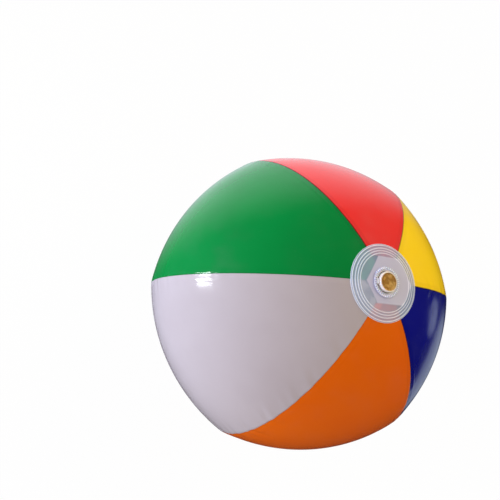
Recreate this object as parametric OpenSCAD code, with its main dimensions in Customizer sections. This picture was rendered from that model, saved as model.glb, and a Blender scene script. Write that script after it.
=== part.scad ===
// Inflatable beach ball with six coloured panels, two clear end discs and an inflation valve.
// Millimetres. The origin is the ball's centre, and the valve's axis is +Z.

/* [Ball] */
// Diameter of the inflated ball, measured across opposite seams
ball_d = 300; // [200:5:420]
// Mid-panel radius as a share of the seam radius: a film gore lies flatter across than along
mid_share = 0.973; // [0.94:0.001:0.985]
// Thickness of the panel film
film = 0.3; // [0.2:0.05:0.8]

/* [End discs] */
// Diameter of the clear disc at each pole
disc_d = 56; // [44:1:70]
// Thickness of the disc film
disc_film = 0.35; // [0.25:0.05:0.8]
// Distance from the axis to each panel's cut tip under the valve's disc, in the panels' order
valve_tips = [14, 15, 20.5, 20.5, 18.5, 14]; // [12:0.5:21]
// Distance from the axis to each panel's cut tip under the plain disc, in the panels' order
plain_tips = [14, 14, 18, 17, 14, 14.5]; // [12:0.5:21]
// Height of each weld ridge above the disc
ridge_h = 0.3; // [0.1:0.05:0.6]

/* [Valve] */
// Outer diameter of the flange that is welded to the disc
flange_d = 22; // [20:0.5:26]
// Number of radial ribs around the flange
rib_count = 40; // [16:1:60]
// Outer diameter of the inflation tube
tube_d = 11.2; // [10.6:0.1:12]
// Length of the inflation tube
tube_len = 14.5; // [12:0.5:18]
// Bore that takes the nozzle of a pump
throat_d = 6.4; // [5.6:0.1:7]
// Bore that takes the plug
socket_d = 8; // [7.6:0.1:8.4]
// Depth of the plug's bore
socket_len = 6; // [5:0.5:7]

/* [Plug] */
// Diameter of the plug's cap
cap_d = 14.6; // [13:0.2:15]
// Thickness of the plug's cap
cap_h = 1.5; // [1.2:0.1:2]
// Length of the plug's shank below the cap
shank_len = 4.6; // [3.5:0.1:4.8]
// Width of the strap that ties the plug to the tube
strap_w = 3.6; // [2.5:0.1:5]

/* [Hidden] */
$fn = 128;

gore_count = 6;
half_angle = 180 / gore_count;
seam_r = ball_d / 2;
mid_r = seam_r * mid_share;
chord_half = seam_r * sin(half_angle);
sagitta = mid_r - seam_r * cos(half_angle);
cross_r = (pow(chord_half, 2) + pow(sagitta, 2)) / (2 * sagitta);
cross_x = mid_r - cross_r;
reach = 1.2 * seam_r;
band_in = seam_r / 4;
band_half = seam_r / 1.5;
// How far each cutting shape runs past the face that it cuts.
cut_past = 1;

disc_r = disc_d / 2;
disc_gap = 0.02;
// The disc's sphere falls as far at its edge as the panels do along their seams.
seam_fall = pow(cos(half_angle), 2) / mid_r + pow(sin(half_angle), 2) / cross_r;
disc_sphere_r = 1 / seam_fall;
disc_base_z = mid_r + disc_gap;
disc_top_z = disc_base_z + disc_film;
ridge_shares = [0.96, 0.88, 0.81, 0.745];
disc_hole_r = 8.9;

flange_r = flange_d / 2;
flange_hole_r = 8.8;
flange_h = 0.5;
rib_h = 0.25;
rib_w = 0.5;
rib_in = flange_r - 1.8;
rib_out = flange_r - 0.4;

tube_r = tube_d / 2;
throat_r = throat_d / 2;
socket_r = socket_d / 2;
cap_r = cap_d / 2;
head_r = 7.2;
head_h = 1.4;
head_top_z = disc_top_z + 1;
tube_foot_z = head_top_z - tube_len;
socket_floor_z = head_top_z - socket_len;
seat_h = 1.8;
seat_top_z = tube_foot_z + seat_h;
seat_r = 4.4;
seat_hole_r = 2.3;
seat_gap = 0.01;

flap_r = 3.7;
flap_h = 0.45;
flap_gap = 0.05;
flap_pin_x = -4.2;
flap_pin_r = 0.35;
flap_ear_w = 2.4;
flap_ear_lap = 1;

skirt_t = 0.4;
skirt_top_r = flange_hole_r;
skirt_foot_r = 7;
skirt_foot_z = tube_foot_z + 0.5;
skirt_in_r = tube_r + 0.02;

shank_top_r = socket_r - 0.06;
shank_tip_r = 2.85;
shank_hollow_r = 1.9;
dish_r = cap_r - 1.3;
dish_depth = 0.5;
cap_gap = 0.05;
cap_base_z = head_top_z + cap_gap;
hinge_x = 8.05;
hinge_r = 0.4;
hinge_z = cap_base_z + 0.3;
ear_h = 0.5;
ear_root_x = head_r - 1;
ear_end_x = 8.35;
ear_top_z = hinge_z - hinge_r - 0.1;
bridge_h = 0.5;
bridge_in_x = cap_r - 0.6;
bridge_base_z = hinge_z - 0.15;

// Full thin ring of the gore's film. Its axis of revolution lies across the gore.
module gore_band() {
    rotate([90, 0, 0])
        rotate_extrude()
            intersection() {
                translate([cross_x, 0])
                    difference() {
                        circle(r = cross_r, $fn = 256);
                        circle(r = cross_r - film, $fn = 256);
                    }
                translate([band_in, -band_half])
                    square([seam_r, 2 * band_half]);
            }
}

// Upright prism between the gore's two seams, cut off straight at each tip.
module gore_slice(index) {
    slope = tan(half_angle);
    for (half = [[valve_tips[index], 0], [plain_tips[index], -reach]])
        translate([0, 0, half[1]])
            linear_extrude(height = reach)
                polygon([
                    [half[0], -half[0] * slope],
                    [reach, -reach * slope],
                    [reach, reach * slope],
                    [half[0], half[0] * slope]
                ]);
}

// One panel: the film between its two seams, where it is welded edge to edge to its neighbours.
module gore(index) {
    rotate([0, 0, (2 * index + 1) * half_angle])
        intersection() {
            gore_band();
            gore_slice(index);
        }
}

module panel_white() {
    color("whitesmoke") gore(0);
}

module panel_orange() {
    color("darkorange") gore(1);
}

module panel_blue() {
    color("navy") gore(2);
}

module panel_yellow() {
    color("gold") gore(3);
}

module panel_red() {
    color("crimson") gore(4);
}

module panel_green() {
    color("seagreen") gore(5);
}

// Domed disc over the panel tips, with its round weld ridges, for the +Z pole.
module end_disc(hole_r) {
    rotate_extrude() {
        intersection() {
            translate([0, disc_base_z - disc_sphere_r])
                difference() {
                    circle(r = disc_sphere_r + disc_film, $fn = 256);
                    circle(r = disc_sphere_r, $fn = 256);
                }
            translate([hole_r, disc_base_z - disc_r])
                square([disc_r - hole_r, 2 * disc_r]);
        }
        for (share = ridge_shares)
            weld_ridge(share * disc_r);
    }
}

// Half-round bead that stands ridge_h above the disc at the given distance from the axis.
module weld_ridge(ridge_r) {
    dome_z = disc_base_z - disc_sphere_r + sqrt(pow(disc_sphere_r + disc_film, 2) - pow(ridge_r, 2));
    translate([ridge_r, dome_z])
        intersection() {
            circle(r = ridge_h, $fn = 32);
            translate([-ridge_h, -disc_film / 2])
                square([2 * ridge_h, 2 * ridge_h]);
        }
}

module valve_end_disc() {
    color("gainsboro", 0.5) end_disc(disc_hole_r);
}

module plain_end_disc() {
    color("gainsboro", 0.5) mirror([0, 0, 1]) end_disc(0);
}

// Weld flange of the valve, lying on the disc, with its ring of radial ribs.
module valve_flange() {
    color("darkgoldenrod", 0.8) {
        difference() {
            translate([0, 0, disc_top_z])
                cylinder(r = flange_r, h = flange_h);
            translate([0, 0, disc_top_z - cut_past])
                cylinder(r = flange_hole_r, h = flange_h + 2 * cut_past);
        }
        for (i = [0 : rib_count - 1])
            rotate([0, 0, i * 360 / rib_count])
                translate([rib_in, -rib_w / 2, disc_top_z + flange_h / 2])
                    cube([rib_out - rib_in, rib_w, flange_h / 2 + rib_h]);
    }
}

// Thin sleeve from the flange down to the tube's foot, turned in as the valve is stored.
module valve_skirt() {
    color("darkgoldenrod", 0.6)
        rotate_extrude()
            polygon([
                [skirt_top_r, disc_top_z],
                [skirt_top_r - skirt_t, disc_top_z],
                [skirt_foot_r - skirt_t, skirt_foot_z + skirt_t],
                [skirt_in_r, skirt_foot_z + skirt_t],
                [skirt_in_r, skirt_foot_z],
                [skirt_foot_r, skirt_foot_z]
            ]);
}

// Inflation tube with its head, the plug's bore, the nozzle's bore and the strap's ear.
module valve_stem() {
    color("goldenrod", 0.7)
        difference() {
            union() {
                translate([0, 0, tube_foot_z])
                    cylinder(r = tube_r, h = tube_len);
                translate([0, 0, head_top_z - head_h])
                    cylinder(r = head_r, h = head_h);
                translate([ear_root_x, -strap_w / 2, ear_top_z - ear_h])
                    cube([ear_end_x - ear_root_x, strap_w, ear_h]);
            }
            translate([0, 0, socket_floor_z])
                cylinder(r = socket_r, h = socket_len + cut_past);
            translate([0, 0, seat_top_z])
                cylinder(r = throat_r, h = socket_floor_z - seat_top_z + cut_past);
            translate([0, 0, tube_foot_z - cut_past])
                cylinder(r = seat_r, h = seat_h + cut_past);
        }
}

// Ring in the tube's foot that the check flap closes against.
module flap_seat() {
    color("peru")
        difference() {
            translate([0, 0, tube_foot_z])
                cylinder(r = seat_r - seat_gap, h = seat_h - 2 * seat_gap);
            translate([0, 0, tube_foot_z - cut_past])
                cylinder(r = seat_hole_r, h = seat_h + 2 * cut_past);
        }
}

// Round check flap under the seat, with the bead that it turns on.
module check_flap() {
    flap_top_z = tube_foot_z - flap_gap;
    color("tan") {
        translate([0, 0, flap_top_z - flap_h])
            cylinder(r = flap_r, h = flap_h);
        translate([flap_pin_x, -flap_ear_w / 2, flap_top_z - flap_h])
            cube([-flap_pin_x - flap_r + flap_ear_lap, flap_ear_w, flap_h]);
        translate([flap_pin_x, flap_ear_w / 2, flap_top_z - flap_pin_r])
            rotate([90, 0, 0])
                cylinder(r = flap_pin_r, h = flap_ear_w);
    }
}

// Stopper: a dished cap with a rounded rim over a tapered, hollow shank.
module plug() {
    rim_r = cap_h / 2;
    color("goldenrod", 0.8)
        rotate_extrude()
            difference() {
                union() {
                    polygon([
                        [0, cap_base_z - shank_len],
                        [shank_tip_r, cap_base_z - shank_len],
                        [shank_top_r, cap_base_z],
                        [0, cap_base_z]
                    ]);
                    translate([0, cap_base_z])
                        square([cap_r - rim_r, cap_h]);
                    translate([cap_r - rim_r, cap_base_z + rim_r])
                        circle(r = rim_r, $fn = 32);
                }
                translate([-cut_past, cap_base_z + cap_h - dish_depth])
                    square([dish_r + cut_past, dish_depth + cut_past]);
                translate([-cut_past, cap_base_z - shank_len - cut_past])
                    square([shank_hollow_r + cut_past, shank_len]);
            }
}

// Short strap from the ear on the tube's head to the cap's rim, with its thin living hinge.
module plug_strap() {
    color("goldenrod", 0.8) {
        translate([hinge_x, strap_w / 2, hinge_z])
            rotate([90, 0, 0])
                cylinder(r = hinge_r, h = strap_w);
        translate([bridge_in_x, -strap_w / 2, bridge_base_z])
            cube([hinge_x - bridge_in_x, strap_w, bridge_h]);
    }
}

panel_white();
panel_orange();
panel_blue();
panel_yellow();
panel_red();
panel_green();
valve_end_disc();
plain_end_disc();
valve_flange();
valve_skirt();
valve_stem();
flap_seat();
check_flap();
plug();
plug_strap();
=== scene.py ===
import math
from random import Random

import bpy
from mathutils import Matrix, Vector


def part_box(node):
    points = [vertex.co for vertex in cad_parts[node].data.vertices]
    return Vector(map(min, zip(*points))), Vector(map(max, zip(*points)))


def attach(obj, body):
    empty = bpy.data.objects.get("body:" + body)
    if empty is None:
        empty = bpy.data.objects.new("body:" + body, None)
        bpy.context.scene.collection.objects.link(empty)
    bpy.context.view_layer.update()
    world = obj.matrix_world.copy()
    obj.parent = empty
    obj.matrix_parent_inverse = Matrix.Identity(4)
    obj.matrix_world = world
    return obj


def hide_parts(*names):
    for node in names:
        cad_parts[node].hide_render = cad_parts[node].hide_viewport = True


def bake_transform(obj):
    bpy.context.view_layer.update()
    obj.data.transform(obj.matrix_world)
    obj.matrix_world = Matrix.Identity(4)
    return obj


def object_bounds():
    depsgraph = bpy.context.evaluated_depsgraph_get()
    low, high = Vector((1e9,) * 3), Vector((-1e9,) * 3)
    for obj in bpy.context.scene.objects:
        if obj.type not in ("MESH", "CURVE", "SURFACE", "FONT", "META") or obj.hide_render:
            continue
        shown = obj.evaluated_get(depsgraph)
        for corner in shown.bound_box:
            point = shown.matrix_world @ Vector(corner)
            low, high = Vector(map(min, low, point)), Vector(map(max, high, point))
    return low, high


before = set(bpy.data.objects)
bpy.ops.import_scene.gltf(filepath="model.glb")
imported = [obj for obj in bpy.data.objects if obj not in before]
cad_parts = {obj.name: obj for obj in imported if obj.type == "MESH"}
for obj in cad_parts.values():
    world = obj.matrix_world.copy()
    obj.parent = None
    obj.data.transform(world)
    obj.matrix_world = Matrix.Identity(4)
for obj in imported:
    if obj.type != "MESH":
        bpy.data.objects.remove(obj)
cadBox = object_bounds()

# what the frame says about the ball and its valve, in metres
seamRadius = cadBox[1].x              # out to a seam, at the equator
midRadius = cadBox[1].y               # out to the middle of a panel
flangeLow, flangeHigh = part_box("valve_flange")
stemLow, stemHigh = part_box("valve_stem")
plugLow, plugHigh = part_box("plug")
strapLow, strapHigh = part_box("plug_strap")
skirtLow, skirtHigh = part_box("valve_skirt")
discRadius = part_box("valve_end_disc")[1].x
halfAngle = math.radians(30)


# small helpers

def deselectAll():
    if bpy.context.mode != "OBJECT":
        bpy.ops.object.mode_set(mode="OBJECT")
    bpy.ops.object.select_all(action="DESELECT")


def activate(piece):
    deselectAll()
    piece.select_set(True)
    bpy.context.view_layer.objects.active = piece


def applyPlace(piece):
    activate(piece)
    bpy.ops.object.transform_apply(location=True, rotation=True, scale=True)


def applyModifiers(piece):
    activate(piece)
    for name in [m.name for m in piece.modifiers]:
        bpy.ops.object.modifier_apply(modifier=name)


def cleanMesh(piece, distance=1e-6):
    activate(piece)
    bpy.ops.object.mode_set(mode="EDIT")
    bpy.ops.mesh.select_all(action="SELECT")
    bpy.ops.mesh.remove_doubles(threshold=distance)
    bpy.ops.mesh.normals_make_consistent(inside=False)
    bpy.ops.object.mode_set(mode="OBJECT")


def joinPieces(pieces, name):
    deselectAll()
    for piece in pieces:
        piece.select_set(True)
    bpy.context.view_layer.objects.active = pieces[0]
    if len(pieces) > 1:
        bpy.ops.object.join()
    pieces[0].name = name
    return pieces[0]


def smoothByAngle(piece, degrees=35):
    activate(piece)
    bpy.ops.object.shade_smooth_by_angle(angle=math.radians(degrees))


def smoothAll(piece):
    activate(piece)
    bpy.ops.object.shade_smooth()


def wave(value):
    return 0.5 - 0.5 * math.cos(math.pi * max(0.0, min(1.0, value)))


def startProfile(name, first):
    # one vertex, ready to be drawn out into an outline
    deselectAll()
    bpy.ops.mesh.primitive_plane_add(size=0.001, location=(0, 0, 0))
    piece = bpy.context.active_object
    piece.name = name
    bpy.ops.object.mode_set(mode="EDIT")
    bpy.ops.mesh.select_all(action="SELECT")
    bpy.ops.mesh.merge(type="CENTER")
    bpy.ops.transform.translate(value=(first[0], 0, first[1]))
    return piece


def turnProfile(name, outline, steps=96, closed=True):
    # outline: radius and height of each corner, in order; it is drawn by extrusion and spun about Z
    piece = startProfile(name, outline[0])
    path = outline[1:] + ([outline[0]] if closed else [])
    last = outline[0]
    for radius, height in path:
        move = (radius - last[0], 0, height - last[1])
        bpy.ops.mesh.extrude_region_move(TRANSFORM_OT_translate={"value": move})
        last = (radius, height)
    bpy.ops.mesh.select_all(action="SELECT")
    bpy.ops.mesh.spin(steps=steps, angle=math.tau, center=(0, 0, 0), axis=(0, 0, 1))
    bpy.ops.mesh.select_all(action="SELECT")
    bpy.ops.mesh.remove_doubles(threshold=2e-6)
    bpy.ops.mesh.normals_make_consistent(inside=False)
    bpy.ops.object.mode_set(mode="OBJECT")
    return piece


def arcPoints(centre, radius, start, end, count):
    # points on a circle in an outline, from one angle to another, in degrees
    points = []
    for i in range(count + 1):
        a = math.radians(start + (end - start) * i / count)
        points.append((centre[0] + radius * math.cos(a), centre[1] + radius * math.sin(a)))
    return points


# helpers for material nodes

def newGroup(name, inputs, outputs):
    group = bpy.data.node_groups.new(name, "ShaderNodeTree")
    for label, kind, value in inputs:
        socket = group.interface.new_socket(label, in_out="INPUT", socket_type=kind)
        socket.default_value = value
    for label, kind in outputs:
        group.interface.new_socket(label, in_out="OUTPUT", socket_type=kind)
    return group, group.nodes.new("NodeGroupInput"), group.nodes.new("NodeGroupOutput")


def mathNode(tree, operation, first, second, clamp=False):
    node = tree.nodes.new("ShaderNodeMath")
    node.operation = operation
    node.use_clamp = clamp
    for socket, value in ((node.inputs[0], first), (node.inputs[1], second)):
        if isinstance(value, (int, float)):
            socket.default_value = value
        else:
            tree.links.new(value, socket)
    return node.outputs[0]


def rampNode(tree, value, stops, smooth=True):
    node = tree.nodes.new("ShaderNodeMapRange")
    node.interpolation_type = "SMOOTHSTEP" if smooth else "LINEAR"
    tree.links.new(value, node.inputs["Value"])
    for label, number in zip(("From Min", "From Max", "To Min", "To Max"), stops):
        node.inputs[label].default_value = number
    return node.outputs["Result"]


def mixColour(tree, factor, first, second, mode="MIX"):
    node = tree.nodes.new("ShaderNodeMix")
    node.data_type = "RGBA"
    node.blend_type = mode
    for socket, value in ((node.inputs[0], factor), (node.inputs[6], first), (node.inputs[7], second)):
        if isinstance(value, (int, float)):
            socket.default_value = value
        elif isinstance(value, tuple):
            socket.default_value = (*value, 1)
        else:
            tree.links.new(value, socket)
    return node.outputs[2]


def noiseNode(tree, vector, scale, detail=3.0, rough=0.5, warp=0.0):
    node = tree.nodes.new("ShaderNodeTexNoise")
    node.inputs["Scale"].default_value = scale
    node.inputs["Detail"].default_value = detail
    node.inputs["Roughness"].default_value = rough
    node.inputs["Distortion"].default_value = warp
    tree.links.new(vector, node.inputs["Vector"])
    return node.outputs["Fac"]


camera = dict(
    lens=23.72,
    place=(0.1651, 0.0362, 0.3305),
    turn=(11.76, -19.69, -176.09),
)

# directions are in the camera's own terms: right, up and back towards the camera
studio = dict(
    floorTone=(0.80, 0.80, 0.81),
    floorGlow=0.97,
    roomTone=(0.50, 0.43, 0.42),      # soft light that comes from all round
    shadeTone=(0.015, 0.015, 0.018),  # what gloss mirrors where nothing bright stands
    sides=[
        dict(side=(-0.98, 0.17, -0.05), tone=(2.55, 3.20, 4.80), edges=(0.42, 1.0), mirrored=False),
        dict(side=(0.30, 0.92, 0.10), tone=(0.34, 0.34, 0.36), edges=(0.20, 1.0), mirrored=False),
        dict(side=(0.90, 0.42, -0.10), tone=(2.40, 2.35, 1.45), edges=(0.60, 1.0), mirrored=False),
        dict(side=(0.10, -0.80, -0.60), tone=(0.90, 0.90, 0.70), edges=(0.15, 0.95), mirrored=False),
        dict(side=(-0.05, 0.80, -0.60), tone=(0.85, 0.92, 1.0), edges=(0.50, 0.95), mirrored=True),
        dict(side=(0.92, -0.19, -0.34), tone=(0.52, 0.60, 0.68), edges=(0.991, 0.998), mirrored=True),
        dict(side=(0.70, -0.40, -0.59), tone=(0.38, 0.44, 0.48), edges=(0.960, 0.99), mirrored=True),
    ],
    window=dict(side=(-0.86, 0.12, 0.42), reach=0.8, size=(0.05, 0.15), power=1.4, tone=(0.90, 0.95, 1.0)),
    pane=dict(side=(-0.84, 0.26, 0.42), reach=0.8, size=(0.09, 0.03), power=0.5, tone=(0.90, 0.95, 1.0)),
)


def makeCamera():
    deselectAll()
    turn = [math.radians(a) for a in camera["turn"]]
    bpy.ops.object.camera_add(location=camera["place"], rotation=turn)
    view = bpy.context.active_object
    view.name = "camera"
    view.data.lens = camera["lens"]
    view.data.sensor_width = 36
    view.data.clip_start = 0.01
    view.data.clip_end = 50
    bpy.context.scene.camera = view
    return view


def makeSoftbox(name, spec, view):
    bpy.context.view_layer.update()
    turned = view.matrix_world.to_3x3() @ Vector(spec["side"]).normalized()
    place = turned * spec["reach"]
    aim = (-place).to_track_quat("-Z", "Y").to_euler()
    deselectAll()
    bpy.ops.object.light_add(type="AREA", location=place, rotation=aim)
    light = bpy.context.active_object
    light.name = name
    light.data.shape = "RECTANGLE"
    light.data.size, light.data.size_y = spec["size"]
    light.data.energy = spec["power"]
    light.data.color = spec["tone"]
    return light


def makeWorld(view):
    # soft light from a pale room, stronger from some sides; gloss mirrors only the sides marked for it
    world = bpy.data.worlds.new("paleRoom")
    bpy.context.scene.world = world
    world.use_nodes = True
    tree = world.node_tree
    tree.nodes.clear()
    bpy.context.view_layer.update()
    turn = view.matrix_world.to_3x3()
    direction = tree.nodes.new("ShaderNodeTexCoord").outputs["Generated"]
    tones = {False: studio["roomTone"], True: studio["shadeTone"]}
    for spec in studio["sides"]:
        dot = tree.nodes.new("ShaderNodeVectorMath")
        dot.operation = "DOT_PRODUCT"
        dot.inputs[1].default_value = turn @ Vector(spec["side"]).normalized()
        tree.links.new(direction, dot.inputs[0])
        fade = rampNode(tree, dot.outputs["Value"], (*spec["edges"], 0, 1))
        kind = spec["mirrored"]
        tones[kind] = mixColour(tree, fade, tones[kind], spec["tone"], "ADD")
    path = tree.nodes.new("ShaderNodeLightPath")
    room = tree.nodes.new("ShaderNodeBackground")
    lit = mixColour(tree, path.outputs["Is Glossy Ray"], tones[False], tones[True])
    tree.links.new(mixColour(tree, path.outputs["Is Camera Ray"], lit, (1.0, 1.0, 1.0)), room.inputs["Color"])
    out = tree.nodes.new("ShaderNodeOutputWorld")
    tree.links.new(room.outputs["Background"], out.inputs["Surface"])


def makeFloor():
    deselectAll()
    bpy.ops.mesh.primitive_plane_add(size=12, location=(0, 0, cadBox[0].z - 0.0004))
    floor = bpy.context.active_object
    floor.name = "floor"
    applyPlace(floor)
    paper = bpy.data.materials.new("palePaper")
    paper.use_nodes = True
    tree = paper.node_tree
    shade = tree.nodes["Principled BSDF"]
    shade.inputs["Base Color"].default_value = (*studio["floorTone"], 1)
    shade.inputs["Roughness"].default_value = 0.9
    out = tree.nodes["Material Output"]
    glow = tree.nodes.new("ShaderNodeEmission")
    glow.inputs["Strength"].default_value = 1.0
    path = tree.nodes.new("ShaderNodeLightPath")
    share = tree.nodes.new("ShaderNodeMath")
    share.operation = "MULTIPLY"
    share.inputs[1].default_value = studio["floorGlow"]
    mix = tree.nodes.new("ShaderNodeMixShader")
    tree.links.new(path.outputs["Is Camera Ray"], share.inputs[0])
    tree.links.new(share.outputs[0], mix.inputs["Fac"])
    tree.links.new(shade.outputs["BSDF"], mix.inputs[1])
    tree.links.new(glow.outputs["Emission"], mix.inputs[2])
    # seen from beneath, the floor is left out, so the ball's underside shows
    beneath = tree.nodes.new("ShaderNodeMixShader")
    clear = tree.nodes.new("ShaderNodeBsdfTransparent")
    side = tree.nodes.new("ShaderNodeNewGeometry")
    tree.links.new(side.outputs["Backfacing"], beneath.inputs["Fac"])
    tree.links.new(mix.outputs["Shader"], beneath.inputs[1])
    tree.links.new(clear.outputs["BSDF"], beneath.inputs[2])
    tree.links.new(beneath.outputs["Shader"], out.inputs["Surface"])
    floor.data.materials.append(paper)
    for sight in ("visible_diffuse", "visible_glossy", "visible_shadow"):
        setattr(floor, sight, False)


view = makeCamera()
makeWorld(view)
makeFloor()
for lightName in ("window", "pane"):
    makeSoftbox(lightName, studio[lightName], view)
bpy.context.scene.view_settings.view_transform = "Standard"
print("camera, room and lights are set")


def makeVinylGroup():
    # calendered vinyl: faint cloudiness in the colour, fine ripple in the gloss, a little dust
    group, given, out = newGroup(
        "vinylSkin",
        [("Color", "NodeSocketColor", (0.5, 0.5, 0.5, 1)),
         ("Cloud", "NodeSocketFloat", 0.1),
         ("Gloss", "NodeSocketFloat", 0.12),
         ("Haze", "NodeSocketFloat", 0.1)],
        [("Color", "NodeSocketColor"), ("Roughness", "NodeSocketFloat"), ("Height", "NodeSocketFloat")])
    place = group.nodes.new("ShaderNodeTexCoord").outputs["Object"]
    cloud = noiseNode(group, place, 16, 3, 0.55)
    smear = noiseNode(group, place, 55, 4, 0.6, 0.4)
    speck = noiseNode(group, place, 1500, 2, 0.7)
    deep = mixColour(group, 1.0, given.outputs["Color"], given.outputs["Color"], "MULTIPLY")
    shade = mathNode(group, "MULTIPLY", rampNode(group, cloud, (0.35, 0.7, 0, 1)), given.outputs["Cloud"])
    tinted = mixColour(group, shade, given.outputs["Color"], deep)
    dust = mathNode(group, "MULTIPLY", rampNode(group, speck, (0.70, 0.80, 0, 1)), 0.10)
    group.links.new(mixColour(group, dust, tinted, (0.75, 0.74, 0.72)), out.inputs["Color"])
    wear = mathNode(group, "MULTIPLY", rampNode(group, smear, (0.42, 0.72, 0, 1)), given.outputs["Haze"])
    rough = mathNode(group, "ADD", given.outputs["Gloss"], wear)
    dulled = mathNode(group, "ADD", rough, mathNode(group, "MULTIPLY", dust, 2.0))
    group.links.new(dulled, out.inputs["Roughness"])
    ripple = noiseNode(group, place, 120, 2, 0.5)
    grain = noiseNode(group, place, 900, 2, 0.5)
    rippled = mathNode(group, "MULTIPLY", ripple, 0.85)
    height = mathNode(group, "ADD", rippled, mathNode(group, "MULTIPLY", grain, 0.10))
    group.links.new(height, out.inputs["Height"])
    return group


def makeWeldGroup():
    # darker, flatter tone along a heat-sealed seam; distance is stored on the film in millimetres
    group, given, out = newGroup(
        "weldTone",
        [("Color", "NodeSocketColor", (0.5, 0.5, 0.5, 1)),
         ("Line", "NodeSocketColor", (0.05, 0.05, 0.05, 1)),
         ("Strength", "NodeSocketFloat", 0.8)],
        [("Color", "NodeSocketColor"), ("Band", "NodeSocketFloat")])
    stored = group.nodes.new("ShaderNodeAttribute")
    stored.attribute_name = "seamDistance"
    distance = stored.outputs["Fac"]
    inked = group.nodes.new("ShaderNodeAttribute")
    inked.attribute_name = "seamInk"
    ink = mathNode(group, "MULTIPLY", inked.outputs["Fac"], given.outputs["Strength"])
    line = mathNode(group, "MULTIPLY", rampNode(group, distance, (0.20, 0.60, 1, 0)), ink)
    band = rampNode(group, distance, (3.6, 5.2, 1, 0))
    near = mathNode(group, "MULTIPLY", mathNode(group, "MULTIPLY", band, ink), 0.10)
    toned = mixColour(group, near, given.outputs["Color"], given.outputs["Line"])
    group.links.new(mixColour(group, line, toned, given.outputs["Line"]), out.inputs["Color"])
    group.links.new(band, out.inputs["Band"])
    return group


vinylSkin = makeVinylGroup()
weldTone = makeWeldGroup()


def placeGroup(tree, group, values):
    node = tree.nodes.new("ShaderNodeGroup")
    node.node_tree = group
    for label, value in values.items():
        node.inputs[label].default_value = (*value, 1) if isinstance(value, tuple) else value
    return node


def newMaterial(name):
    material = bpy.data.materials.new(name)
    material.use_nodes = True
    return material, material.node_tree, material.node_tree.nodes["Principled BSDF"]


def addBump(tree, shade, height, strength, distance):
    bump = tree.nodes.new("ShaderNodeBump")
    bump.inputs["Strength"].default_value = strength
    bump.inputs["Distance"].default_value = distance
    tree.links.new(height, bump.inputs["Height"])
    tree.links.new(bump.outputs["Normal"], shade.inputs["Normal"])


filmLook = dict(
    white=dict(color=(0.46, 0.39, 0.365), line=(0.42, 0.42, 0.44)),
    orange=dict(color=(0.77, 0.125, 0.0005), line=(0.30, 0.05, 0.002)),
    blue=dict(color=(0.002, 0.003, 0.20), line=(0.002, 0.003, 0.05)),
    yellow=dict(color=(0.95, 0.62, 0.003), line=(0.28, 0.17, 0.01)),
    red=dict(color=(0.79, 0.027, 0.023), line=(0.09, 0.006, 0.006)),
    green=dict(color=(0.001, 0.205, 0.033), line=(0.002, 0.045, 0.02)),
)


def filmMaterial(tone):
    look = filmLook[tone]
    material, tree, shade = newMaterial("vinyl_" + tone)
    weld = placeGroup(tree, weldTone, dict(Color=look["color"], Line=look["line"], Strength=0.85))
    skin = placeGroup(tree, vinylSkin, dict(Cloud=0.10, Gloss=0.13, Haze=0.10))
    tree.links.new(weld.outputs["Color"], skin.inputs["Color"])
    tree.links.new(skin.outputs["Color"], shade.inputs["Base Color"])
    tree.links.new(skin.outputs["Roughness"], shade.inputs["Roughness"])
    shade.inputs["IOR"].default_value = 1.5
    shade.inputs["Coat Weight"].default_value = 0.15
    shade.inputs["Coat Roughness"].default_value = 0.05
    addBump(tree, shade, skin.outputs["Height"], 0.35, 0.00025)
    return material


clearLook = dict(
    # both tones are painted light: the pale free tone stands in for the lit inside of the ball, and both carry a
    # painted bluish sheen of reflected sky
    free=(0.66, 0.63, 0.74),          # where it hangs clear of the panels
    backed=(0.46, 0.54, 0.68),        # where it is welded down on them
    freeAlpha=0.86,
    backedAlpha=0.55,
    # how far the weld rings and rim are painted towards white, as a painted highlight
    ridgePale=0.75,
    shadeShare=0.75,                  # how much of its shade is taken away
)


def clearMaterial():
    # clear film, pale and nearly opaque where it hangs free and clearer where it is welded down on the panels; these
    # tones are painted light, and its weld rings and rim carry a painted highlight
    material, tree, shade = newMaterial("vinyl_clear")
    backed = tree.nodes.new("ShaderNodeAttribute")
    backed.attribute_name = "backed"
    ridge = tree.nodes.new("ShaderNodeAttribute")
    ridge.attribute_name = "ridge"
    tone = mixColour(tree, backed.outputs["Fac"], clearLook["free"], clearLook["backed"])
    # weld rings and rim are painted towards white as a painted highlight, which also makes the film less clear there
    pale = mathNode(tree, "MULTIPLY", ridge.outputs["Fac"], clearLook["ridgePale"])
    skin = placeGroup(tree, vinylSkin, dict(Cloud=0.25, Gloss=0.12, Haze=0.15))
    tree.links.new(mixColour(tree, pale, tone, (1.0, 1.0, 1.0)), skin.inputs["Color"])
    tree.links.new(skin.outputs["Color"], shade.inputs["Base Color"])
    tree.links.new(skin.outputs["Roughness"], shade.inputs["Roughness"])
    veil = rampNode(tree, backed.outputs["Fac"], (0, 1, clearLook["freeAlpha"], clearLook["backedAlpha"]), False)
    whole = mathNode(tree, "ADD", veil, mathNode(tree, "MULTIPLY", pale, 0.5), True)
    # the film's far face adds no second veil, and its own shade is light
    back = tree.nodes.new("ShaderNodeNewGeometry").outputs["Backfacing"]
    shaded = tree.nodes.new("ShaderNodeLightPath").outputs["Is Shadow Ray"]
    seen = mathNode(tree, "SUBTRACT", 1.0, back, True)
    lighter = mathNode(tree, "SUBTRACT", 1.0, mathNode(tree, "MULTIPLY", shaded, clearLook["shadeShare"]), True)
    veiled = mathNode(tree, "MULTIPLY", whole, mathNode(tree, "MULTIPLY", seen, lighter))
    tree.links.new(veiled, shade.inputs["Alpha"])
    shade.inputs["IOR"].default_value = 1.5
    shade.inputs["Coat Weight"].default_value = 0.4
    shade.inputs["Coat Roughness"].default_value = 0.05
    addBump(tree, shade, skin.outputs["Height"], 0.3, 0.0002)
    return material


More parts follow.
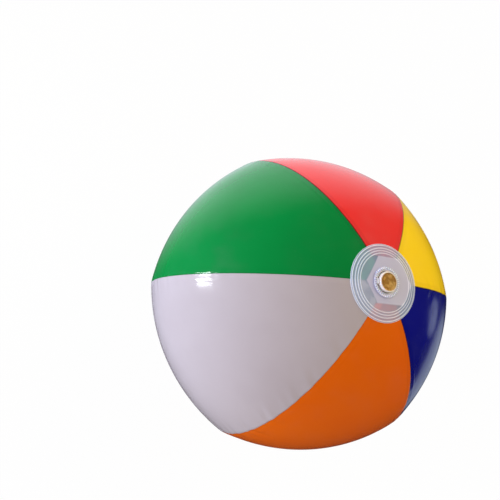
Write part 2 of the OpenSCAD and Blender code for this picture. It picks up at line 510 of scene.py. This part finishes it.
def valveMaterial(name, centre, rim, inner, outer, see, mottledShadeShare):
    # one soft vinyl, amber towards its axis and paler towards its edge; the paler rim tone of the cap and the stem's
    # head is a painted highlight, and its brown mottle is painted shade seen through the vinyl
    material, tree, shade = newMaterial(name)
    place = tree.nodes.new("ShaderNodeTexCoord").outputs["Object"]
    flat = tree.nodes.new("ShaderNodeVectorMath")
    flat.operation = "MULTIPLY"
    flat.inputs[1].default_value = (1, 1, 0)
    tree.links.new(place, flat.inputs[0])
    length = tree.nodes.new("ShaderNodeVectorMath")
    length.operation = "LENGTH"
    tree.links.new(flat.outputs[0], length.inputs[0])
    out = rampNode(tree, length.outputs["Value"], (inner, outer, 0, 1))
    skin = placeGroup(tree, vinylSkin, dict(Cloud=0.6, Gloss=0.16, Haze=0.12))
    mottledShade = noiseNode(tree, place, 330, 2, 0.5, 0.8)
    # the brown mottle is painted shade, standing in for the shade inside the tube seen through the vinyl
    deep = tuple(c * k for c, k in zip(centre, (0.55, 0.42, 0.25)))
    core = mixColour(tree, rampNode(tree, mottledShade, (0.40, 0.62, mottledShadeShare, 0)), centre, deep)
    tree.links.new(mixColour(tree, out, core, rim), skin.inputs["Color"])
    tree.links.new(skin.outputs["Color"], shade.inputs["Base Color"])
    tree.links.new(skin.outputs["Roughness"], shade.inputs["Roughness"])
    shade.inputs["IOR"].default_value = 1.5
    shade.inputs["Subsurface Weight"].default_value = see
    shade.inputs["Subsurface Radius"].default_value = (1.0, 0.6, 0.25)
    shade.inputs["Subsurface Scale"].default_value = 0.0012
    shade.inputs["Coat Weight"].default_value = 0.5
    shade.inputs["Coat Roughness"].default_value = 0.08
    addBump(tree, shade, skin.outputs["Height"], 0.4, 0.0002)
    return material


amberTone = (0.66, 0.41, 0.11)
# the paler tone on the cap's rim and the stem's head is a painted highlight
rimHighlightTone = (0.86, 0.80, 0.74)
# the ribs' near-white tone is a painted highlight on them
ribHighlightTone = (0.95, 0.95, 0.97)

# tone at the axis and at the rim, the radii it changes between, how much light it lets in, how much of it is mottled
# with painted shade
valveLook = dict(
    amber=(amberTone, amberTone, 0.001, 0.02, 0.3, 0.30),
    plug=(amberTone, rimHighlightTone, 0.0060, 0.0068, 0.3, 0.75),
    stem=(amberTone, rimHighlightTone, 0.0060, 0.0072, 0.3, 0.30),
    pale=((0.74, 0.70, 0.70), (0.66, 0.66, 0.76), 0.0082, 0.0095, 0.3, 0.06),
    ribs=(ribHighlightTone, ribHighlightTone, 0.001, 0.02, 0.2, 0.0),
)

filmMaterials = {tone: filmMaterial(tone) for tone in filmLook}
clearVinyl = clearMaterial()
amberVinyl = valveMaterial("vinyl_amber", *valveLook["amber"])
plugVinyl = valveMaterial("vinyl_plug", *valveLook["plug"])
stemVinyl = valveMaterial("vinyl_stem", *valveLook["stem"])
paleVinyl = valveMaterial("vinyl_valve_pale", *valveLook["pale"])
ribHighlightVinyl = valveMaterial("vinyl_valve_ribs_highlight", *valveLook["ribs"])
print("materials are made")


ball = dict(
    panels=["white", "orange", "blue", "yellow", "red", "green"],
    valveTips=[0.014, 0.015, 0.0205, 0.0205, 0.0185, 0.014],
    plainTips=[0.014, 0.014, 0.018, 0.017, 0.014, 0.0145],
    film=0.0003,
    columns=72,                       # mesh divisions from seam to seam
    rows=236,                         # and from tip to tip
    lap=0.0045,                       # how far the film runs on under its neighbour
    groove=0.00035,                   # open width at the weld
    drop=0.0004,                      # how much lower the tucked edge lies
    pucker=0.00028,                   # height of the small gathers along a weld
    puckerReach=0.013,
    gathers=[(0.0125, 0.5), (0.0083, 0.3), (0.021, 0.45)],  # pitch and share of each wave
    lapSteps=[0.0, 0.00025, 0.0009, 0.002, 0.0032, 0.0045],  # mesh rows across the lap
    tuck=0.0005,                      # how soon the lap reaches its full drop
    telegraph=0.00010,                # faint ridge where the hidden edge shows through
    telegraphWidth=0.0011,
    flat=(0.159, 0.431),              # the gore as it is cut, with its lap
    flatArea=0.0467,
    seamInk=[0.15, 0.0, 1.0, 0.9, 0.8, 1.0],  # how dark each weld line reads, from the one at +X on round
)

# a gore is the arc across its middle, turned about the ball's cross axis
sagitta = midRadius - seamRadius * math.cos(halfAngle)
chordHalf = seamRadius * math.sin(halfAngle)
crossRadius = (chordHalf ** 2 + sagitta ** 2) / (2 * sagitta)
crossCentre = midRadius - crossRadius
slope = math.tan(halfAngle)


def seamHalfWidth(turn):
    # half the gore's width at a turn about its cross axis, where it meets the seam's plane
    c = slope * math.cos(turn)
    root = (c * crossCentre) ** 2 - (1 + c * c) * ((c * crossCentre) ** 2 - (c * crossRadius) ** 2)
    return (c * crossCentre + math.sqrt(root)) / (1 + c * c)


def filmPoint(turn, across, depth):
    # a point of the gore's outer face, sunk by depth along the face's normal
    lean = math.asin(across / crossRadius)
    reach = crossCentre + (crossRadius - depth) * math.cos(lean)
    side = (crossRadius - depth) * math.sin(lean)
    return Vector((reach * math.cos(turn), side, reach * math.sin(turn)))


def gatherHeight(turn, distance, seamIndex):
    # small gathers that the weld leaves in the film, the same on both sides of a seam
    draw = Random(40 + seamIndex)
    along = turn * midRadius
    height = 0.0
    for pitch, share in ball["gathers"]:
        phase = draw.uniform(0, math.tau)
        height += share * math.sin(math.tau * along / pitch + phase + 0.9 * math.sin(along * 37 + phase))
    swell = 0.55 + 0.45 * math.sin(along * 19 + draw.uniform(0, math.tau))
    fade = math.exp(-((distance / ball["puckerReach"]) ** 2) * 1.6)
    return ball["pucker"] * height * swell * fade


def makePanel(index):
    tone = ball["panels"][index]
    rows, columns = ball["rows"], ball["columns"]
    low = -math.acos(ball["plainTips"][index] / midRadius)
    high = math.acos(ball["valveTips"][index] / midRadius)
    lapSteps = ball["lapSteps"]
    total = columns + len(lapSteps)
    deselectAll()
    bpy.ops.mesh.primitive_grid_add(x_subdivisions=total, y_subdivisions=rows, size=1)
    piece = bpy.context.active_object
    piece.name = "film_" + tone
    vertices = piece.data.vertices
    across = total + 1
    distances = [0.0] * len(vertices)
    inks = [0.0] * len(vertices)
    rightInk, leftInk = ball["seamInk"][index], ball["seamInk"][(index + 1) % 6]
    neighbour = Matrix.Rotation(2 * halfAngle, 3, "Z")
    for row in range(rows + 1):
        turn = low + (high - low) * row / rows
        half = seamHalfWidth(turn)
        for column in range(across):
            spot = vertices[row * across + column]
            if column <= columns:
                # from the cut edge on the right to the weld on the left, closer together near the seams
                share = -math.cos(math.pi * column / columns) * 0.35 + (2 * column / columns - 1) * 0.65
                right, left = -half + ball["groove"], half
                side = right + (left - right) * (share + 1) / 2
                toRight, toLeft = side + half, half - side
                lift = gatherHeight(turn, toRight, index) + gatherHeight(turn, toLeft, (index + 1) % 6)
                telegraph = ball["telegraph"] * math.exp(-(((toRight - ball["lap"]) / ball["telegraphWidth"]) ** 2))
                spot.co = filmPoint(turn, side, -lift - telegraph)
                distances[row * across + column] = 1000 * min(abs(toRight - ball["groove"]), toLeft)
                inks[row * across + column] = rightInk if toRight < toLeft else leftInk
            else:
                # the lap runs on under the next panel
                step = lapSteps[column - columns - 1] + ball["groove"] * 0.5
                lift = gatherHeight(turn, step, (index + 1) % 6)
                sunk = ball["drop"] * wave(step / ball["tuck"])
                spot.co = neighbour @ filmPoint(turn, -half + step, sunk - lift)
                inks[row * across + column] = leftInk
    piece.data.transform(Matrix.Rotation((2 * index + 1) * halfAngle, 4, "Z"))
    stored = piece.data.attributes.new("seamDistance", "FLOAT", "POINT")
    stored.data.foreach_set("value", distances)
    stored = piece.data.attributes.new("seamInk", "FLOAT", "POINT")
    stored.data.foreach_set("value", inks)
    wall = piece.modifiers.new("film", "SOLIDIFY")
    wall.thickness = ball["film"]
    wall.offset = -1
    applyModifiers(piece)
    smoothByAngle(piece, 60)
    piece.data.materials.append(filmMaterials[tone])
    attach(piece, "ball")
    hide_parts("panel_" + tone)
    return piece


for index in range(6):
    makePanel(index)
print("six film panels are welded up")


disc = dict(
    film=0.00035,
    gap=0.00002,                      # how far it lies above the panels
    hole=0.0089,
    ridges=[0.96, 0.88, 0.81, 0.745],  # weld rings, as shares of the disc's radius
    ridgeHeight=0.0003,
    ridgeWidth=0.00036,
    rimWidth=0.00045,                 # painted highlight line along its edge
    step=0.00028,
    tipBlur=0.0008,                   # softness of a tip's edge seen through the film
    stretch=1.006,                    # its width along the dome, as a share of its width across
)


def ridgeShare(radius):
    # 1 on the crest of a weld ring, 0 well away from it
    return sum(math.exp(-((radius - share * discRadius) / disc["ridgeWidth"]) ** 2) for share in disc["ridges"])


def discOutline(hole):
    # top line of the domed disc from its hole to its rim
    fall = math.cos(halfAngle) ** 2 / midRadius + math.sin(halfAngle) ** 2 / crossRadius
    sphere = 1 / fall
    base = midRadius + disc["gap"] + disc["film"] - sphere
    count = int((discRadius - hole) / disc["step"])
    outline = []
    for i in range(count + 1):
        radius = hole + (discRadius - hole) * i / count
        height = base + math.sqrt(sphere ** 2 - radius ** 2) + disc["ridgeHeight"] * ridgeShare(radius)
        outline.append((radius, height))
    return outline


def markDisc(piece, tips):
    # where the disc lies on a panel's tip, and the mask for the painted highlight on its weld rings and rim
    backed, ridge = [], []
    for spot in piece.data.vertices:
        inset = []
        for index, tip in enumerate(tips):
            turn = (2 * index + 1) * halfAngle
            inset.append(spot.co.x * math.cos(turn) + spot.co.y * math.sin(turn) - tip)
        backed.append(wave(max(inset) / disc["tipBlur"] + 0.5))
        radius = math.hypot(spot.co.x, spot.co.y)
        ridge.append(min(1.0, ridgeShare(radius) + wave((radius - discRadius) / disc["rimWidth"] + 1)))
    for label, values in (("backed", backed), ("ridge", ridge)):
        stored = piece.data.attributes.new(label, "FLOAT", "POINT")
        stored.data.foreach_set("value", values)


def makeDisc(name, node, hole, tips, turnOver):
    piece = turnProfile(name, discOutline(hole), steps=160, closed=False)
    activate(piece)
    bpy.ops.object.mode_set(mode="EDIT")
    bpy.ops.mesh.select_all(action="SELECT")
    if turnOver:
        bpy.ops.transform.mirror(constraint_axis=(False, False, True), center_override=(0, 0, 0))
    bpy.ops.mesh.normals_make_consistent(inside=False)
    bpy.ops.object.mode_set(mode="OBJECT")
    outward = -1 if turnOver else 1
    if sum(face.normal.z for face in piece.data.polygons) * outward < 0:
        piece.data.flip_normals()
    markDisc(piece, tips)
    wall = piece.modifiers.new("film", "SOLIDIFY")
    wall.thickness = disc["film"]
    wall.offset = -1
    applyModifiers(piece)
    smoothByAngle(piece, 50)
    piece.data.materials.append(clearVinyl)
    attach(piece, "ball")
    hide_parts(node)
    return piece


makeDisc("disc_valve_end", "valve_end_disc", disc["hole"], ball["valveTips"], False)
makeDisc("disc_plain_end", "plain_end_disc", 0.0, ball["plainTips"], True)
print("clear discs are on")


flange = dict(
    bore=0.0088,
    thick=0.0005,
    edge=0.00018,                     # rounding of its moulded rim
    margin=0.0004,                    # plain edge outside the ribs
    ribs=40,
    ribLength=0.0015,
    ribWidth=0.00042,
    ribHeight=0.00025,
    ribSunk=0.0003,                   # how far each rib is let into the ring
)


def makeFlange():
    # flat ring with a soft inner lip, and a crown of radial ribs
    low, high, inner = flangeLow.z, flangeLow.z + flange["thick"], flange["bore"]
    outer, edge = flangeHigh.x, flange["edge"]
    outline = [(inner, low), (outer - edge, low), (outer, low + edge), (outer - flange["margin"], high - 0.0001),
               (outer - 0.0007, high), (inner + 0.0006, high), (inner + 0.0003, high + 0.0001),
               (inner, high - 0.0001)]
    ring = turnProfile("flange_ring", outline, steps=128)
    ring.data.materials.append(paleVinyl)
    start = outer - flange["margin"] - flange["ribLength"]
    deselectAll()
    bpy.ops.mesh.primitive_cube_add(size=1, location=(0, 0, 0))
    rib = bpy.context.active_object
    bpy.ops.object.mode_set(mode="EDIT")
    bpy.ops.mesh.select_all(action="SELECT")
    bpy.ops.transform.resize(value=(flange["ribLength"], flange["ribWidth"], flange["ribHeight"] + flange["ribSunk"]))
    bpy.ops.mesh.bevel(offset=0.00012, segments=2, affect="EDGES")
    # the ribs carry a painted highlight: a near-white tone
    rib.data.materials.append(ribHighlightVinyl)
    middle = high + (flange["ribHeight"] - flange["ribSunk"]) / 2
    bpy.ops.transform.translate(value=(start + flange["ribLength"] / 2, 0, middle))
    bpy.ops.object.mode_set(mode="OBJECT")
    parts = [ring, rib]
    for i in range(1, flange["ribs"]):
        copy = rib.copy()
        copy.data = rib.data.copy()
        bpy.context.collection.objects.link(copy)
        copy.rotation_euler[2] = math.tau * i / flange["ribs"]
        applyPlace(copy)
        parts.append(copy)
    piece = joinPieces(parts, "valve_weld_ring")
    smoothByAngle(piece, 40)
    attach(piece, "ball")
    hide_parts("valve_flange")
    return piece


sleeve = dict(
    shoulder=[(0.0090, 0.00002), (0.0087, 0.00022), (0.0083, 0.00026), (0.0079, 0.00012),
              (0.00765, -0.0004), (0.00755, -0.0012)],  # radius, and height above the node's top
    narrowing=0.00075,
    fold=0.00012,                     # height of the soft waves down its side
    wall=0.00025,
)


def makeSkirt():
    # thin sleeve: a rolled shoulder at the flange, then down to the tube's foot
    top, foot = skirtHigh.z, skirtLow.z
    outline = [(radius, top + rise) for radius, rise in sleeve["shoulder"]]
    neck, start = outline[-1]
    for i in range(1, 13):
        t = i / 12
        fold = sleeve["fold"] * math.sin(t * math.pi * 6)
        outline.append((neck - sleeve["narrowing"] * t + fold, start + (foot + 0.0018 - start) * t))
    outline += arcPoints((0.0060, foot + 0.0012), 0.0008, 0, -90, 4)
    outline.append((0.00562, foot + 0.0004))
    piece = turnProfile("valve_sleeve", outline, steps=96, closed=False)
    wall = piece.modifiers.new("wall", "SOLIDIFY")
    wall.thickness = sleeve["wall"]
    wall.offset = 0
    applyModifiers(piece)
    smoothAll(piece)
    piece.data.materials.append(paleVinyl)
    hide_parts("valve_skirt")
    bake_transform(piece)
    return piece


stem = dict(
    edge=0.00018,                     # rounding of its moulded edges
    head=0.0072,
    headThick=0.0014,
    tube=0.0056,
    socket=0.0040,
    socketDepth=0.0060,
    throat=0.0032,
    seat=0.0044,
    seatDepth=0.0018,
    earLength=0.00215,
    earThick=0.0005,
    earMiddle=0.0073,
    earDrop=0.0009,                   # how far its top lies under the strap's
)


def makeStem():
    # tube with a broad head, stepped bores and the ear that the strap hangs on
    top, foot = stemHigh.z, stemLow.z
    r = stem
    edge = r["edge"]
    headFoot = top - r["headThick"]
    socketFloor = top - r["socketDepth"]
    seatTop = foot + r["seatDepth"]
    outline = [(r["seat"], foot), (r["tube"] - edge, foot), (r["tube"], foot + edge), (r["tube"], headFoot - 0.0004),
               (r["tube"] + 0.0004, headFoot), (r["head"] - edge, headFoot), (r["head"], headFoot + edge),
               (r["head"], top - edge * 1.6), (r["head"] - edge, top - edge * 0.4), (r["head"] - edge * 2, top),
               (r["socket"] + edge * 1.5, top), (r["socket"] + edge * 0.4, top - edge * 0.5),
               (r["socket"], top - edge * 1.5), (r["socket"], socketFloor + edge),
               (r["socket"] - edge, socketFloor), (r["throat"] + edge, socketFloor), (r["throat"], socketFloor - edge),
               (r["throat"], seatTop), (r["seat"], seatTop)]
    tube = turnProfile("stem_tube", outline, steps=96)
    width = strapHigh.y - strapLow.y
    earTop = strapHigh.z - r["earDrop"]
    deselectAll()
    bpy.ops.mesh.primitive_cube_add(size=1, location=(0, 0, 0))
    ear = bpy.context.active_object
    bpy.ops.object.mode_set(mode="EDIT")
    bpy.ops.mesh.select_all(action="SELECT")
    bpy.ops.transform.resize(value=(r["earLength"], width, r["earThick"]))
    bpy.ops.mesh.bevel(offset=0.00014, segments=2, affect="EDGES")
    bpy.ops.transform.translate(value=(r["earMiddle"], 0, earTop - r["earThick"] / 2))
    bpy.ops.object.mode_set(mode="OBJECT")
    piece = joinPieces([tube, ear], "valve_tube")
    smoothByAngle(piece, 35)
    piece.data.materials.clear()
    piece.data.materials.append(stemVinyl)
    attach(piece, "stem")
    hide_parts("valve_stem")
    return piece


plug = dict(
    capThick=0.0015,
    dish=0.0060,
    dishDepth=0.00045,
    shankTop=0.00394,
    shankTip=0.00285,
    hollow=0.0019,
    gate=0.0008,                      # little mark in the middle, left by the mould's gate
)


def makePlug():
    # dished cap with a rolled rim, on a tapered, hollow shank
    tip, top, cap = plugLow.z, plugHigh.z, plugHigh.x
    base = top - plug["capThick"]
    roll = plug["capThick"] / 2
    depth = top - plug["dishDepth"]
    outline = [(0, base - 0.0010), (plug["hollow"] - 0.0002, base - 0.0010), (plug["hollow"], base - 0.0012),
               (plug["hollow"], tip), (plug["shankTip"] - 0.0002, tip), (plug["shankTip"], tip + 0.0003),
               (plug["shankTop"], base)]
    outline += arcPoints((cap - roll, base + roll), roll, -90, 90, 10)
    outline += [(plug["dish"] + 0.0002, top - 0.00004), (plug["dish"], top - 0.00015),
                (plug["dish"] - 0.0002, depth + 0.00004), (plug["dish"] - 0.0004, depth),
                (0.0043, depth - 0.00003), (0.0041, depth + 0.00012), (0.0038, depth + 0.00012),
                (0.0036, depth - 0.00004), (plug["gate"] + 0.0005, depth - 0.00014),
                (plug["gate"], depth + 0.00012), (plug["gate"] - 0.0003, depth + 0.0002), (0, depth + 0.0002)]
    piece = turnProfile("plug_cap", outline, steps=96, closed=False)
    piece.name = "stopper"
    cleanMesh(piece)
    smoothByAngle(piece, 40)
    piece.data.materials.append(plugVinyl)
    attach(piece, "stopper")
    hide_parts("plug")
    return piece


strap = dict(
    bead=0.0004,
    tongueThick=0.00045,
    tongueRise=0.0001,                # its middle above the bead's
    waist=0.14,                       # how much narrower the tongue is in its middle
)


def makeStrap():
    # living hinge: a bead over the ear, and a tongue that waists in before it meets the cap
    width = strapHigh.y - strapLow.y
    bead = strap["bead"]
    centre = (strapHigh.x - bead, 0, strapLow.z + bead)
    deselectAll()
    bpy.ops.mesh.primitive_cylinder_add(vertices=24, radius=bead, depth=width, location=centre,
                                        rotation=(math.pi / 2, 0, 0))
    knuckle = bpy.context.active_object
    applyPlace(knuckle)
    activate(knuckle)
    bpy.ops.object.mode_set(mode="EDIT")
    bpy.ops.mesh.select_all(action="SELECT")
    bpy.ops.mesh.bevel(offset=0.0001, segments=2, affect="EDGES")
    bpy.ops.object.mode_set(mode="OBJECT")
    deselectAll()
    bpy.ops.mesh.primitive_cube_add(size=1, location=(0, 0, 0))
    tongue = bpy.context.active_object
    bpy.ops.object.mode_set(mode="EDIT")
    bpy.ops.mesh.select_all(action="SELECT")
    bpy.ops.mesh.subdivide(number_cuts=3)
    bpy.ops.transform.resize(value=(centre[0] - strapLow.x, width, strap["tongueThick"]))
    bpy.ops.transform.translate(value=((centre[0] + strapLow.x) / 2, 0, centre[2] + strap["tongueRise"]))
    bpy.ops.object.mode_set(mode="OBJECT")
    for spot in tongue.data.vertices:
        t = (spot.co.x - strapLow.x) / (centre[0] - strapLow.x)
        spot.co.y *= 1 - strap["waist"] * math.sin(math.pi * t)
    piece = joinPieces([knuckle, tongue], "strap")
    smoothByAngle(piece, 40)
    piece.data.materials.clear()
    piece.data.materials.append(plugVinyl)
    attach(piece, "stopper")
    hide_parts("plug_strap")
    return piece


makeFlange()
makeSkirt()
makeStem()
makePlug()
makeStrap()
for name in ("flap_seat", "check_flap"):
    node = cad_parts[name]
    node.data.materials.clear()
    node.data.materials.append(amberVinyl)
print("valve is in")
